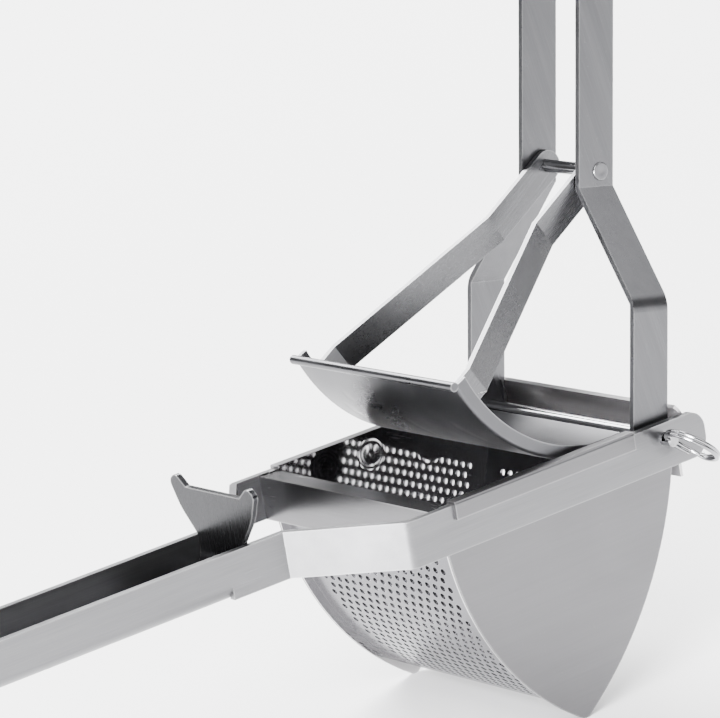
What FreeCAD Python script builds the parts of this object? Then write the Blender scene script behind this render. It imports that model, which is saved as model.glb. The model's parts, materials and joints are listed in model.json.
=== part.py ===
"""Potato ricer with a V-shaped perforated hopper, a swinging plunger and a release pin.

Millimetres, +Z up, Y across the tool, lower handle running towards -X.
The sketches are drawn about the axle line.  Every sub-part is then placed so that the origin lies on
the lower edge of the front cross plate, where the rim of a pot bears.
"""
import FreeCAD, Part
import Sketcher
import math
import os
import re

V = FreeCAD.Vector
ROT = FreeCAD.Rotation

doc = FreeCAD.newDocument("potato_ricer")

# ---------------------------------------------------------------- driving dimensions
SIZES = [
    # frame and lower handle: one bent sheet
    ("frame_half", 50.0, "half width over the rails"),
    ("frame_sheet", 2.5, "sheet of the frame"),
    ("rail_high", 16.0, "height of the rails and of the grip"),
    ("rail_top", 5.5, "top of the rails above the axle"),
    ("ear_reach", 18.4, "rails run this far behind the axle"),
    ("ear_round", 6.5, "rounding of the rail ends"),
    ("splay_gap", 11.0, "front cross plate to the bend between rail and splay"),
    ("splay_long", 26.0, "length of the splay along the tool"),
    ("grip_half", 15.4, "half width of the lower grip"),
    ("handle_reach", 381.0, "axle to the end of either handle"),
    ("web_gap", 23.0, "end of the splay to the start of either web"),
    ("web_round", 5.0, "outer rounding between web and flanges"),
    ("bend_round", 4.0, "outer rounding of the sheet bends"),
    ("end_round", 9.0, "rounding of the grip's end corners"),
    # horned rest between the flanges of the lower grip
    ("rest_sheet", 2.0, "sheet of the horned rest"),
    ("rest_gap", 12.5, "end of the splay to the upright of the rest"),
    ("rest_foot", 14.0, "foot of the rest along the web"),
    ("rest_bend", 9.0, "bend radius between foot and upright"),
    ("rest_low", 5.8, "rest widens above this height over the axle"),
    ("horn_mid", 14.4, "height of the widening's middle point"),
    ("horn_mid_half", 19.9, "half width there"),
    ("horn_tip", 23.2, "height of the widest point"),
    ("horn_half", 23.9, "half width over the horns"),
    ("horn_top", 26.0, "height of the horn tops"),
    ("horn_top_half", 20.2, "half spacing of the horn tops"),
    ("horn_round", 2.4, "rounding of the horns"),
    ("flare_round", 20.0, "rounding at the widening's middle point"),
    ("saddle_top", 21.8, "height of the saddle between the horns"),
    ("saddle_half", 15.2, "half width of the saddle"),
    # hopper
    ("hopper_sheet", 1.2, "sheet of the side plates and cross plates"),
    ("front_round", 101.0, "radius of the side plates' front edge"),
    ("front_back", 3.9, "its centre, in front of the axle towards +X"),
    ("rear_round", 131.9, "radius of the side plates' rear edge"),
    ("rear_fore", 123.7, "its centre, before the axle"),
    ("rear_rise", 24.3, "its centre, above the axle"),
    ("tip_round", 3.0, "rounding of the lowest corner"),
    ("hem_front", 93.2, "axle to the front end of the hem"),
    ("hem_back", 14.0, "axle to the rear end of the hem"),
    ("hem_deep", 5.0, "hem lip below the rail top"),
    ("edge_stand", 3.0, "side plates stand proud of the sieves"),
    ("sieve_sheet", 1.0, "sheet of the sieves"),
    ("sieve_drop", 11.0, "top of the rear sieve below the axle"),
    ("hole_dia", 2.4, "holes of the sieves"),
    ("hole_pitch", 4.1, "hole spacing along a row"),
    ("row_pitch", 3.6, "spacing of the rows along the curve"),
    ("side_margin", 8.0, "plain strip beside the side plates"),
    ("top_margin", 13.0, "plain strip under the axle height, front sieve"),
    ("rear_margin", 9.0, "plain strip under the top of the rear sieve"),
    ("tip_margin", 5.0, "plain strip above the hopper's lowest line"),
    # cross plates
    ("front_gap", 3.9, "front cross plate before the front edges of the side plates"),
    ("flange_lap", 0.6, "its top flange laps this far over the front sieve"),
    ("front_sink", 0.4, "its top below the rail top"),
    ("rear_curve", 12.6, "outer radius of the rear cross plate about the axle"),
    ("rear_top_ang", 47.0, "upper end of its curve above horizontal"),
    ("rear_low_ang", 52.0, "lower end of its curve below horizontal"),
    ("hook_drop", 16.0, "lower edge of the pot hook below the axle"),
    # upper handle: one bent sheet
    ("lean", 11.3, "backward lean of the open upper handle, degrees"),
    ("arm_sheet", 2.0, "sheet of the upper handle"),
    ("arm_clear", 1.5, "gap between the arms and the side plates"),
    ("strap_half", 16.2, "half width over the straps above the bends"),
    ("arm_front", 9.6, "front edge before the axle line"),
    ("arm_back", 5.8, "rear edge behind the axle line"),
    ("arm_end", 8.0, "arms run this far below the axle"),
    ("low_bend", 46.7, "axle to the lower bend"),
    ("high_bend", 83.9, "axle to the upper bend"),
    ("pivot_far", 89.1, "axle to the bail pin"),
    ("arm_round", 10.0, "outer rounding of the lower bends"),
    # axle
    ("pin_dia", 4.6, "release pin"),
    ("pin_out", 5.0, "pin end beyond the rail on the ring side"),
    ("pin_far", 0.6, "pin end beyond the other rail"),
    ("pin_chamfer", 0.5, "chamfer of the pin's ends"),
    ("run_clear", 0.08, "radial running clearance of the pins"),
    ("tube_dia", 6.4, "spacer tube on the release pin"),
    ("side_clear", 0.2, "end play of the tubes"),
    ("eye_in", 2.4, "centre of the ring's eye from the pin end"),
    ("eye_wide", 3.2, "eye across the pin"),
    ("eye_long", 3.4, "eye along the pin"),
    ("ring_dia", 20.6, "outer diameter of the split ring"),
    ("ring_wire", 1.4, "wire of the split ring"),
    ("ring_lap", 0.16, "the two turns lie this far into each other"),
    ("ring_turn", 43.0, "turn of the eye about the pin, degrees"),
    ("ring_tilt", 12.0, "tilt of the ring in its own plane, degrees"),
    # bail and plunger
    ("bail_pin_dia", 3.2, "rivet through straps and bail arms"),
    ("rivet_head", 6.4, "diameter of its heads"),
    ("rivet_high", 0.6, "height of its heads"),
    ("spacer_dia", 4.6, "spacer between the bail arms"),
    ("bail_gap", 0.4, "gap between bail arms and straps"),
    ("bail_sheet", 2.0, "sheet of the bail arms"),
    ("bail_wide", 11.0, "width of the bail arms"),
    ("bail_slope", 30.2, "slope of the bail arms, degrees"),
    ("bail_top", 30.6, "pin to the upper bend"),
    ("bail_low", 95.9, "pin to the lower bend"),
    ("foot_inset", 5.1, "feet inside the plunger's side flanges"),
    ("foot_long", 22.0, "foot before it is trimmed to the plunger"),
    ("plate_fore", 17.8, "centre of the plunger's curve before the axle"),
    ("plate_rise", 67.6, "and above it"),
    ("plate_round", 67.5, "outer radius of the plunger"),
    ("plate_sheet", 1.5, "sheet of the plunger"),
    ("plunge_clear", 1.9, "gap between the plunger and the side plates"),
    ("plate_flange", 5.0, "height of its side flanges"),
    ("plate_stop", 9.6, "rear end of the curve past its lowest line, degrees"),
    ("notch_gap", 3.0, "corner notches start this far before the arms"),
    ("notch_clear", 0.6, "gap between the notches and the arms"),
    ("lip_dia", 3.2, "rolled front lip"),
    ("lip_out", 0.4, "centre of the lip outside the curve"),
    ("lip_clear", 1.2, "lip to the front sieve with the handle open"),
    # small finishing sizes
    ("end_flat", 0.2, "half of the flat left between two end roundings"),
    ("edge_left", 0.15, "sheet left square beside a rounded edge"),
    ("spare", 5.0, "cutting shapes reach this far past what they cut"),
]

# sizes that follow from the ones above
FOLLOWING = {
    "front_face": "(front_round - front_back + front_gap)",
    "front_flange": "(front_gap + edge_stand + flange_lap)",
    "splay_far": "(front_face + splay_gap)",
    "neck_far": "(splay_far + splay_long)",
    "web_far": "(neck_far + web_gap)",
    "rest_far": "(neck_far + rest_gap)",
    "plate_in": "(frame_half - frame_sheet - hopper_sheet)",
    "plate_out": "(frame_half - frame_sheet)",
    "arm_half": "(plate_in - arm_clear)",
    "plate_half": "(plate_in - plunge_clear)",
    "bail_foot_half": "(plate_half - plate_sheet - foot_inset)",
    "lip_reach": "(front_round - edge_stand - sieve_sheet - lip_clear - lip_dia / 2)",
    "lip_round": "(plate_round + lip_out)",
    "centre_fore": "(plate_fore + front_back)",
    "centre_gap": "sqrt(centre_fore^2 + plate_rise^2)",
    "lip_turn": "acos((lip_round^2 + centre_gap^2 - lip_reach^2) / (2 * lip_round * centre_gap))",
    "plate_start": "(180 - (atan(plate_rise / centre_fore) + lip_turn) / 1 deg)",
    "plate_span": "(90 + plate_stop - plate_start)",
}

sheet = doc.addObject("Spreadsheet::Sheet", "Sizes")
for row, (name, number, note) in enumerate(SIZES, start=1):
    sheet.set("A%d" % row, name)
    sheet.set("B%d" % row, str(number))
    sheet.set("C%d" % row, note)
    sheet.setAlias("B%d" % row, name)
doc.recompute()


NAMES = {name for name, _, _ in SIZES}


def cells(text):
    """Spell a formula out: worked-out names become their formulas, driving names become cells."""
    def spell(match):
        name = match.group()
        if name in FOLLOWING:
            return cells(FOLLOWING[name])
        return "Sizes." + name if name in NAMES else name

    return re.sub(r"[a-z][a-z_]+", spell, text)


def value(text):
    """Number that a formula of size names stands for."""
    return float(sheet.evalExpression(cells(text)))


AXLE_X = "(front_face - hopper_sheet / 2)"
AXLE_Z = "(rail_high - rail_top)"


def place(obj, fore="0", rise="0", angle="0", side="0"):
    """Put a sub-part on the axle line, moved by fore and rise and turned about Y."""
    # the first guess keeps the axis when the angle is nothing
    obj.Placement = FreeCAD.Placement(V(0, 0, 0), ROT(V(0, 1, 0), 1))
    obj.setExpression("Placement.Base.x", cells("%s + %s" % (AXLE_X, fore)))
    obj.setExpression("Placement.Base.y", cells(side))
    obj.setExpression("Placement.Base.z", cells("%s + %s" % (AXLE_Z, rise)))
    obj.setExpression("Placement.Rotation.Angle", cells(angle))


def new_body(label):
    body = doc.addObject("PartDesign::Body", label)
    body.Label = label
    return body


def new_sketch(body, name, role, offset="0"):
    """Sketch on one of the body's origin planes, moved along its normal by offset."""
    sketch = body.newObject("Sketcher::SketchObject", name)
    plane = next(f for f in body.Origin.OriginFeatures if f.Role == role)
    sketch.AttachmentSupport = [(plane, "")]
    sketch.MapMode = "FlatFace"
    if offset != "0":
        sketch.setExpression("AttachmentOffset.Base.z", cells(offset))
    return sketch


def pin_point(sketch, geo, end, across, up):
    """Fix one point of a sketch at a pair of formulas."""
    for kind, text in (("DistanceX", across), ("DistanceY", up)):
        index = sketch.addConstraint(Sketcher.Constraint(kind, -1, 1, geo, end, value(text)))
        sketch.setExpression("Constraints[%d]" % index, cells(text))


def polygon(sketch, points):
    """Closed outline through points given as pairs of formulas."""
    at = [V(value(a), value(b), 0) for a, b in points]
    count = len(at)
    geos = [sketch.addGeometry(Part.LineSegment(at[i], at[(i + 1) % count]), False) for i in range(count)]
    for i, geo in enumerate(geos):
        sketch.addConstraint(Sketcher.Constraint("Coincident", geo, 2, geos[(i + 1) % count], 1))
        pin_point(sketch, geo, 1, *points[i])
    return geos


def circle(sketch, across, up, dia):
    """Circle with its centre and diameter given as formulas."""
    geo = sketch.addGeometry(Part.Circle(V(value(across), value(up), 0), V(0, 0, 1), value(dia) / 2), False)
    pin_point(sketch, geo, 3, across, up)
    index = sketch.addConstraint(Sketcher.Constraint("Diameter", geo, value(dia)))
    sketch.setExpression("Constraints[%d]" % index, cells(dia))
    return geo


def strip(sketch, points, thick, side=1, upright=False):
    """Closed outline of a bent sheet.

    points run along the sheet's outer face as (distance, half width) formulas; the sheet lies thick
    towards the middle.  An upright strip has its length along the sketch's Y, others along its X.
    """
    def spot(along, across):
        return V(side * across, along, 0) if upright else V(along, side * across, 0)

    outer = [spot(value(a), value(b)) for a, b in points]
    thick_now = value(thick)
    count = len(outer)
    normals = []
    for i in range(count - 1):
        run = (outer[i + 1] - outer[i]).normalize()
        left = V(-run.y, run.x, 0)
        inward = left.x * side < 0 if upright else left.y * side < 0
        normals.append(left if inward else left * -1)
    inner = [outer[0] + normals[0] * thick_now]
    for i in range(1, count - 1):
        half = (normals[i - 1] + normals[i]).normalize()
        inner.append(outer[i] + half * (thick_now / half.dot(normals[i])))
    inner.append(outer[-1] + normals[-1] * thick_now)
    out_geos = [sketch.addGeometry(Part.LineSegment(outer[i], outer[i + 1]), False) for i in range(count - 1)]
    in_geos = [sketch.addGeometry(Part.LineSegment(inner[i], inner[i + 1]), False) for i in range(count - 1)]
    start = sketch.addGeometry(Part.LineSegment(outer[0], inner[0]), False)
    stop = sketch.addGeometry(Part.LineSegment(outer[-1], inner[-1]), False)
    for i in range(count - 2):
        sketch.addConstraint(Sketcher.Constraint("Coincident", out_geos[i], 2, out_geos[i + 1], 1))
        sketch.addConstraint(Sketcher.Constraint("Coincident", in_geos[i], 2, in_geos[i + 1], 1))
    sketch.addConstraint(Sketcher.Constraint("Coincident", start, 1, out_geos[0], 1))
    sketch.addConstraint(Sketcher.Constraint("Coincident", start, 2, in_geos[0], 1))
    sketch.addConstraint(Sketcher.Constraint("Coincident", stop, 1, out_geos[-1], 2))
    sketch.addConstraint(Sketcher.Constraint("Coincident", stop, 2, in_geos[-1], 2))
    for i in range(count - 1):
        sketch.addConstraint(Sketcher.Constraint("Parallel", out_geos[i], in_geos[i]))
        index = sketch.addConstraint(Sketcher.Constraint("Distance", in_geos[i], 1, out_geos[i], thick_now))
        sketch.setExpression("Constraints[%d]" % index, cells(thick))
    sketch.addConstraint(Sketcher.Constraint("Perpendicular", start, out_geos[0]))
    sketch.addConstraint(Sketcher.Constraint("Perpendicular", stop, out_geos[-1]))
    sign = "" if side > 0 else "-1 * "
    for i in range(count):
        geo, end = (out_geos[i], 1) if i < count - 1 else (out_geos[-1], 2)
        along, across = points[i][0], sign + points[i][1]
        if upright:
            pin_point(sketch, geo, end, across, along)
        else:
            pin_point(sketch, geo, end, along, across)


def pad(body, sketch, length, both=False, back=False):
    feature = body.newObject("PartDesign::Pad", sketch.Name + "_pad")
    feature.Profile = sketch
    feature.setExpression("Length", cells(length))
    feature.Midplane = both
    feature.Reversed = back
    doc.recompute()
    return feature


def cut_through(body, sketch):
    feature = body.newObject("PartDesign::Pocket", sketch.Name + "_cut")
    feature.Profile = sketch
    feature.Type = "ThroughAll"
    feature.Midplane = True
    doc.recompute()
    return feature


def round_edges(body, name, radius, wanted):
    """Fillet the edges of the body's tip for which wanted(edge) holds."""
    base = body.Tip
    names = ["Edge%d" % (i + 1) for i, edge in enumerate(base.Shape.Edges) if wanted(edge)]
    feature = body.newObject("PartDesign::Fillet", name)
    feature.Base = (base, names)
    feature.setExpression("Radius", cells(radius))
    doc.recompute()
    return feature


def runs(edge, along, **wish):
    """True for a straight edge along one axis at the wished coordinates (absolute value for y)."""
    if len(edge.Vertexes) != 2:
        return False
    first, second = edge.Vertexes[0].Point, edge.Vertexes[1].Point
    for axis in "xyz":
        apart = abs(getattr(first, axis) - getattr(second, axis))
        if (apart > 0.05) != (axis == along):
            return False
    for axis, target in wish.items():
        found = abs(first.y) if axis == "y" else getattr(first, axis)
        if abs(found - target) > 0.02:
            return False
    return True


def ends_on_curve(edge, radius, half):
    """True for an edge that runs round the Y axis at a radius and a half width."""
    for vertex in edge.Vertexes:
        point = vertex.Point
        if abs(math.hypot(point.x, point.z) - radius) > 0.02 or abs(abs(point.y) - half) > 0.02:
            return False
    return len(edge.Vertexes) == 2 and abs(edge.Vertexes[0].Y - edge.Vertexes[1].Y) < 0.02


RAIL_LOW = "(rail_top - rail_high)"
BORE = "(pin_dia + 2 * run_clear)"
nodes = {}

# ---------------------------------------------------------------- frame and lower handle
frame = new_body("lower_handle")
grip = new_sketch(frame, "grip_section", "YZ_Plane", "-1 * web_far")
polygon(grip, [
    ("-1 * grip_half", RAIL_LOW),
    ("grip_half", RAIL_LOW),
    ("grip_half", "rail_top"),
    ("grip_half - frame_sheet", "rail_top"),
    ("grip_half - frame_sheet", RAIL_LOW + " + frame_sheet"),
    ("frame_sheet - grip_half", RAIL_LOW + " + frame_sheet"),
    ("frame_sheet - grip_half", "rail_top"),
    ("-1 * grip_half", "rail_top"),
])
pad(frame, grip, "handle_reach - web_far", back=True)
low_z = value("rail_top") - value("rail_high")
web_z = low_z + value("frame_sheet")
round_edges(frame, "grip_corners", "web_round",
            lambda e: runs(e, "x", y=value("grip_half"), z=low_z))
round_edges(frame, "grip_inner_corners", "web_round - frame_sheet",
            lambda e: runs(e, "x", y=value("grip_half") - value("frame_sheet"), z=web_z))
rails = new_sketch(frame, "rail_plan", "XY_Plane", RAIL_LOW)
for hand in (1, -1):
    strip(rails, [
        ("ear_reach", "frame_half"),
        ("-1 * splay_far", "frame_half"),
        ("-1 * neck_far", "grip_half"),
        ("-1 * web_far", "grip_half"),
    ], "frame_sheet", hand)
pad(frame, rails, "rail_high")
round_edges(frame, "rail_ends", "ear_round",
            lambda e: runs(e, "y", x=value("ear_reach")))
round_edges(frame, "splay_bends", "bend_round",
            lambda e: runs(e, "z", x=-value("splay_far"), y=value("frame_half")))
round_edges(frame, "grip_end", "end_round",
            lambda e: runs(e, "y", x=-value("handle_reach"), z=value("rail_top")))
bores = new_sketch(frame, "axle_bores", "XZ_Plane")
circle(bores, "0", "0", BORE)
cut_through(frame, bores)
place(frame)
nodes["lower_handle"] = frame

# ---------------------------------------------------------------- horned rest
rest = new_body("handle_rest")
side_view = new_sketch(rest, "rest_side", "XZ_Plane")
WEB_TOP = "(rail_top - rail_high + frame_sheet)"
polygon(side_view, [
    ("-1 * web_far - rest_foot", WEB_TOP),
    ("-1 * rest_far", WEB_TOP),
    ("-1 * rest_far", "horn_top"),
    ("-1 * rest_far - rest_sheet", "horn_top"),
    ("-1 * rest_far - rest_sheet", WEB_TOP + " + rest_sheet"),
    ("-1 * web_far - rest_foot", WEB_TOP + " + rest_sheet"),
])
pad(rest, side_view, "2 * (horn_half + spare)", both=True)
round_edges(rest, "rest_outer_bend", "rest_bend",
            lambda e: runs(e, "y", x=-value("rest_far"), z=web_z))
round_edges(rest, "rest_inner_bend", "rest_bend - rest_sheet",
            lambda e: runs(e, "y", x=-value("rest_far") - value("rest_sheet"), z=web_z + value("rest_sheet")))
outline = new_sketch(rest, "rest_front", "YZ_Plane")
# the foot clears the rounded corners of the grip, the upright reaches its walls
FOOT_HALF = "(grip_half - web_round)"
WALL_HALF = "(grip_half - frame_sheet - side_clear)"
CORNER_TOP = "(rail_top - rail_high + web_round)"
polygon(outline, [
    (FOOT_HALF, WEB_TOP + " - spare"),
    (FOOT_HALF, CORNER_TOP),
    (WALL_HALF, CORNER_TOP),
    (WALL_HALF, "rest_low"),
    ("horn_mid_half", "horn_mid"),
    ("horn_half", "horn_tip"),
    ("horn_top_half", "horn_top"),
    ("saddle_half", "saddle_top"),
    ("-1 * saddle_half", "saddle_top"),
    ("-1 * horn_top_half", "horn_top"),
    ("-1 * horn_half", "horn_tip"),
    ("-1 * horn_mid_half", "horn_mid"),
    ("-1 * " + WALL_HALF, "rest_low"),
    ("-1 * " + WALL_HALF, CORNER_TOP),
    ("-1 * " + FOOT_HALF, CORNER_TOP),
    ("-1 * " + FOOT_HALF, WEB_TOP + " - spare"),
])
polygon(outline, [
    ("horn_half + 2 * spare", WEB_TOP + " - 2 * spare"),
    ("horn_half + 2 * spare", "horn_top + spare"),
    ("-1 * horn_half - 2 * spare", "horn_top + spare"),
    ("-1 * horn_half - 2 * spare", WEB_TOP + " - 2 * spare"),
])
cut_through(rest, outline)
round_edges(rest, "horn_rounding", "horn_round",
            lambda e: runs(e, "x", z=value("horn_tip")) or runs(e, "x", z=value("horn_top")))
round_edges(rest, "horn_flare", "flare_round",
            lambda e: runs(e, "x", z=value("horn_mid")))
place(rest)
nodes["handle_rest"] = rest

# ---------------------------------------------------------------- front cross plate
front = new_body("front_cross_plate")
FRONT_TOP = "(rail_top - front_sink)"
face = new_sketch(front, "front_face_side", "XZ_Plane")
polygon(face, [
    ("-1 * front_face", RAIL_LOW),
    ("hopper_sheet - front_face", RAIL_LOW),
    ("hopper_sheet - front_face", FRONT_TOP),
    ("-1 * front_face", FRONT_TOP),
])
pad(front, face, "2 * plate_out", both=True)
flange = new_sketch(front, "front_flange_side", "XZ_Plane")
polygon(flange, [
    ("-1 * front_face", FRONT_TOP + " - hopper_sheet"),
    ("front_flange - front_face", FRONT_TOP + " - hopper_sheet"),
    ("front_flange - front_face", FRONT_TOP),
    ("-1 * front_face", FRONT_TOP),
])
pad(front, flange, "2 * (plate_in - side_clear)", both=True)
place(front)
nodes["front_cross_plate"] = front

# ---------------------------------------------------------------- rear cross plate with pot hook
rear = new_body("rear_cross_plate")


def arc_band(sketch, outer, inner, low, high):
    """Closed band between two arcs about the origin; low and high are degrees below and above horizontal."""
    ang_low = -math.radians(value(low))
    ang_high = math.radians(value(high))
    arcs = []
    for radius in (outer, inner):
        ring = Part.ArcOfCircle(Part.Circle(V(0, 0, 0), V(0, 0, 1), value(radius)), ang_low, ang_high)
        geo = sketch.addGeometry(ring, False)
        sketch.addConstraint(Sketcher.Constraint("Coincident", geo, 3, -1, 1))
        index = sketch.addConstraint(Sketcher.Constraint("Radius", geo, value(radius)))
        sketch.setExpression("Constraints[%d]" % index, cells(radius))
        arcs.append(geo)
    for end, angle in ((1, ang_low), (2, ang_high)):
        a = V(math.cos(angle), math.sin(angle), 0)
        line = sketch.addGeometry(Part.LineSegment(a * value(outer), a * value(inner)), False)
        sketch.addConstraint(Sketcher.Constraint("Coincident", line, 1, arcs[0], end))
        sketch.addConstraint(Sketcher.Constraint("Coincident", line, 2, arcs[1], end))
    for end, text, sign in ((1, low, "-1 * "), (2, high, "")):
        index = sketch.addConstraint(Sketcher.Constraint("DistanceY", -1, 1, arcs[0], end,
                                                         value("%s(%s) * sin(%s * 1 deg)" % (sign, outer, text))))
        sketch.setExpression("Constraints[%d]" % index, cells("%s(%s) * sin(%s * 1 deg)" % (sign, outer, text)))
        index = sketch.addConstraint(Sketcher.Constraint("DistanceY", -1, 1, arcs[1], end,
                                                         value("%s(%s) * sin(%s * 1 deg)" % (sign, inner, text))))
        sketch.setExpression("Constraints[%d]" % index, cells("%s(%s) * sin(%s * 1 deg)" % (sign, inner, text)))


band = new_sketch(rear, "rear_curve_side", "XZ_Plane")
arc_band(band, "rear_curve", "rear_curve - hopper_sheet", "rear_low_ang", "rear_top_ang")
pad(rear, band, "2 * plate_out", both=True)
hook = new_sketch(rear, "hook_side", "XZ_Plane")
HOOK_X = "(rear_curve * cos(rear_low_ang * 1 deg))"
HOOK_Z = "(rear_curve * sin(rear_low_ang * 1 deg))"
polygon(hook, [
    (HOOK_X, "-1 * hook_drop"),
    (HOOK_X, "-1 * " + HOOK_Z),
    (HOOK_X + " - hopper_sheet * cos(rear_low_ang * 1 deg)", "hopper_sheet * sin(rear_low_ang * 1 deg) - " + HOOK_Z),
    (HOOK_X + " - hopper_sheet", "hopper_sheet * sin(rear_low_ang * 1 deg) - " + HOOK_Z),
    (HOOK_X + " - hopper_sheet", "-1 * hook_drop"),
])
pad(rear, hook, "2 * plate_out", both=True)
place(rear)
nodes["rear_cross_plate"] = rear

# ---------------------------------------------------------------- hopper side plates

def plate_outline(sketch):
    """Pointed outline of a side plate: straight top, curved front and rear edges meeting at the tip."""
    f = V(value("front_back"), 0, 0)
    g = V(-value("rear_fore"), value("rear_rise"), 0)
    top = value("rail_top")
    span = (g - f).Length
    along = (value("front_round") ** 2 - value("rear_round") ** 2 + span ** 2) / (2 * span)
    high = math.sqrt(value("front_round") ** 2 - along ** 2)
    unit = (g - f).normalize()
    tip = f + unit * along + V(-unit.y, unit.x, 0) * high
    front_angle = math.pi - math.asin(top / value("front_round"))
    rear_angle = math.asin((top - value("rear_rise")) / value("rear_round"))
    tip_front = math.atan2(tip.y - f.y, tip.x - f.x) % (2 * math.pi)
    tip_rear = math.atan2(tip.y - g.y, tip.x - g.x)
    ring_f = Part.ArcOfCircle(Part.Circle(f, V(0, 0, 1), value("front_round")), front_angle, tip_front)
    ring_g = Part.ArcOfCircle(Part.Circle(g, V(0, 0, 1), value("rear_round")), tip_rear, rear_angle)
    arc_f = sketch.addGeometry(ring_f, False)
    arc_g = sketch.addGeometry(ring_g, False)
    line = sketch.addGeometry(Part.LineSegment(ring_g.EndPoint, ring_f.StartPoint), False)
    sketch.addConstraint(Sketcher.Constraint("Coincident", arc_f, 2, arc_g, 1))
    sketch.addConstraint(Sketcher.Constraint("Coincident", arc_g, 2, line, 1))
    sketch.addConstraint(Sketcher.Constraint("Coincident", line, 2, arc_f, 1))
    sketch.addConstraint(Sketcher.Constraint("Horizontal", line))
    for geo, radius in ((arc_f, "front_round"), (arc_g, "rear_round")):
        index = sketch.addConstraint(Sketcher.Constraint("Radius", geo, value(radius)))
        sketch.setExpression("Constraints[%d]" % index, cells(radius))
    pin_point(sketch, arc_f, 3, "front_back", "0")
    pin_point(sketch, arc_g, 3, "-1 * rear_fore", "rear_rise")
    index = sketch.addConstraint(Sketcher.Constraint("DistanceY", -1, 1, line, 1, top))
    sketch.setExpression("Constraints[%d]" % index, cells("rail_top"))
    return tip


for label, hand in (("left_side_plate", 1), ("right_side_plate", -1)):
    plate = new_body(label)
    # the XZ plane's normal points to -Y
    near_y = "-1 * plate_out" if hand > 0 else "plate_in"
    profile = new_sketch(plate, label + "_profile", "XZ_Plane", near_y)
    tip = plate_outline(profile)
    pad(plate, profile, "hopper_sheet")
    tip_x, tip_z = tip.x, tip.y
    round_edges(plate, label + "_tip", "tip_round", lambda e: runs(e, "y", x=tip_x, z=tip_z))
    hem_y = "-1 * (frame_half + hopper_sheet)" if hand > 0 else "plate_in"
    over = new_sketch(plate, label + "_hem_top", "XZ_Plane", hem_y)
    polygon(over, [
        ("-1 * hem_front", "rail_top"),
        ("-1 * hem_back", "rail_top"),
        ("-1 * hem_back", "rail_top + hopper_sheet"),
        ("-1 * hem_front", "rail_top + hopper_sheet"),
    ])
    pad(plate, over, "frame_sheet + 2 * hopper_sheet")
    lip_y = "-1 * (frame_half + hopper_sheet)" if hand > 0 else "frame_half"
    down = new_sketch(plate, label + "_hem_lip", "XZ_Plane", lip_y)
    polygon(down, [
        ("-1 * hem_front", "rail_top - hem_deep"),
        ("-1 * hem_back", "rail_top - hem_deep"),
        ("-1 * hem_back", "rail_top + hopper_sheet"),
        ("-1 * hem_front", "rail_top + hopper_sheet"),
    ])
    pad(plate, down, "hopper_sheet")
    crest = value("rail_top") + value("hopper_sheet")
    outer_y = value("frame_half") + value("hopper_sheet")
    round_edges(plate, label + "_hem_edge", "hopper_sheet - edge_left",
                lambda e: runs(e, "x", y=outer_y, z=crest))
    bore = new_sketch(plate, label + "_bore", "XZ_Plane")
    circle(bore, "0", "0", BORE)
    cut_through(plate, bore)
    place(plate)
    nodes[label] = plate

# ---------------------------------------------------------------- sieves
FRONT_OUT = "(front_round - edge_stand)"
FRONT_IN = "(front_round - edge_stand - sieve_sheet)"
REAR_OUT = "(rear_round - edge_stand)"
REAR_IN = "(rear_round - edge_stand - sieve_sheet)"
SIEVE_LONG = "(2 * plate_in)"


def drum(name, radius, x, z):
    """Solid cylinder across the hopper."""
    obj = doc.addObject("Part::Cylinder", name)
    obj.setExpression("Radius", cells(radius))
    obj.setExpression("Height", cells(SIEVE_LONG))
    obj.Placement = FreeCAD.Placement(V(0, 0, 0), ROT(V(1, 0, 0), -90))
    obj.setExpression("Placement.Base.x", cells(x))
    obj.setExpression("Placement.Base.y", cells("-1 * plate_in"))
    obj.setExpression("Placement.Base.z", cells(z))
    return obj


def block(name, low, high):
    """Box across the hopper between two heights."""
    obj = doc.addObject("Part::Box", name)
    obj.setExpression("Length", cells("3 * front_round"))
    obj.setExpression("Width", cells(SIEVE_LONG))
    obj.setExpression("Height", cells("%s - %s" % (high, low)))
    obj.setExpression("Placement.Base.x", cells("-2 * front_round"))
    obj.setExpression("Placement.Base.y", cells("-1 * plate_in"))
    obj.setExpression("Placement.Base.z", cells(low))
    return obj


def boolean(kind, name, base, tool):
    obj = doc.addObject("Part::" + kind, name)
    obj.Base = base
    obj.Tool = tool
    return obj


def drills(name, centre_x, centre_z, radius, first, last):
    """Staggered rows of radial drills between two angles measured from +X towards +Z."""
    step = value("row_pitch") / radius
    rows = int((last - first) / step)
    pitch = value("hole_pitch")
    deep = 4 * value("sieve_sheet")
    half = value("plate_in - side_margin")
    tools = []
    for row in range(rows + 1):
        angle = first + row * step
        out = V(math.cos(angle), 0, math.sin(angle))
        foot = V(centre_x, 0, centre_z) + out * (radius - deep / 2)
        shift = 0 if row % 2 == 0 else pitch / 2
        count = int((half - shift) / pitch)
        start = -count * pitch - shift
        total = 2 * count + 1 if row % 2 == 0 else 2 * count + 2
        for column in range(total):
            at = foot + V(0, start + column * pitch, 0)
            tools.append(Part.makeCylinder(value("hole_dia") / 2, deep, at, out))
    feature = doc.addObject("Part::Feature", name)
    feature.Shape = Part.makeCompound(tools)
    return feature


g_x, g_z = -value("rear_fore"), value("rear_rise")
f_x, f_z = value("front_back"), 0.0
span = math.hypot(g_x - f_x, g_z - f_z)
r_f, r_g = value(FRONT_OUT), value(REAR_IN)
along = (r_f ** 2 - r_g ** 2 + span ** 2) / (2 * span)
high = math.sqrt(r_f ** 2 - along ** 2)
ux, uz = (g_x - f_x) / span, (g_z - f_z) / span
low_x, low_y = f_x + ux * along - uz * high, f_z + uz * along + ux * high
front_low = math.atan2(low_y - f_z, low_x - f_x) % (2 * math.pi)
rear_low = math.atan2(low_y - g_z, low_x - g_x)

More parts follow.
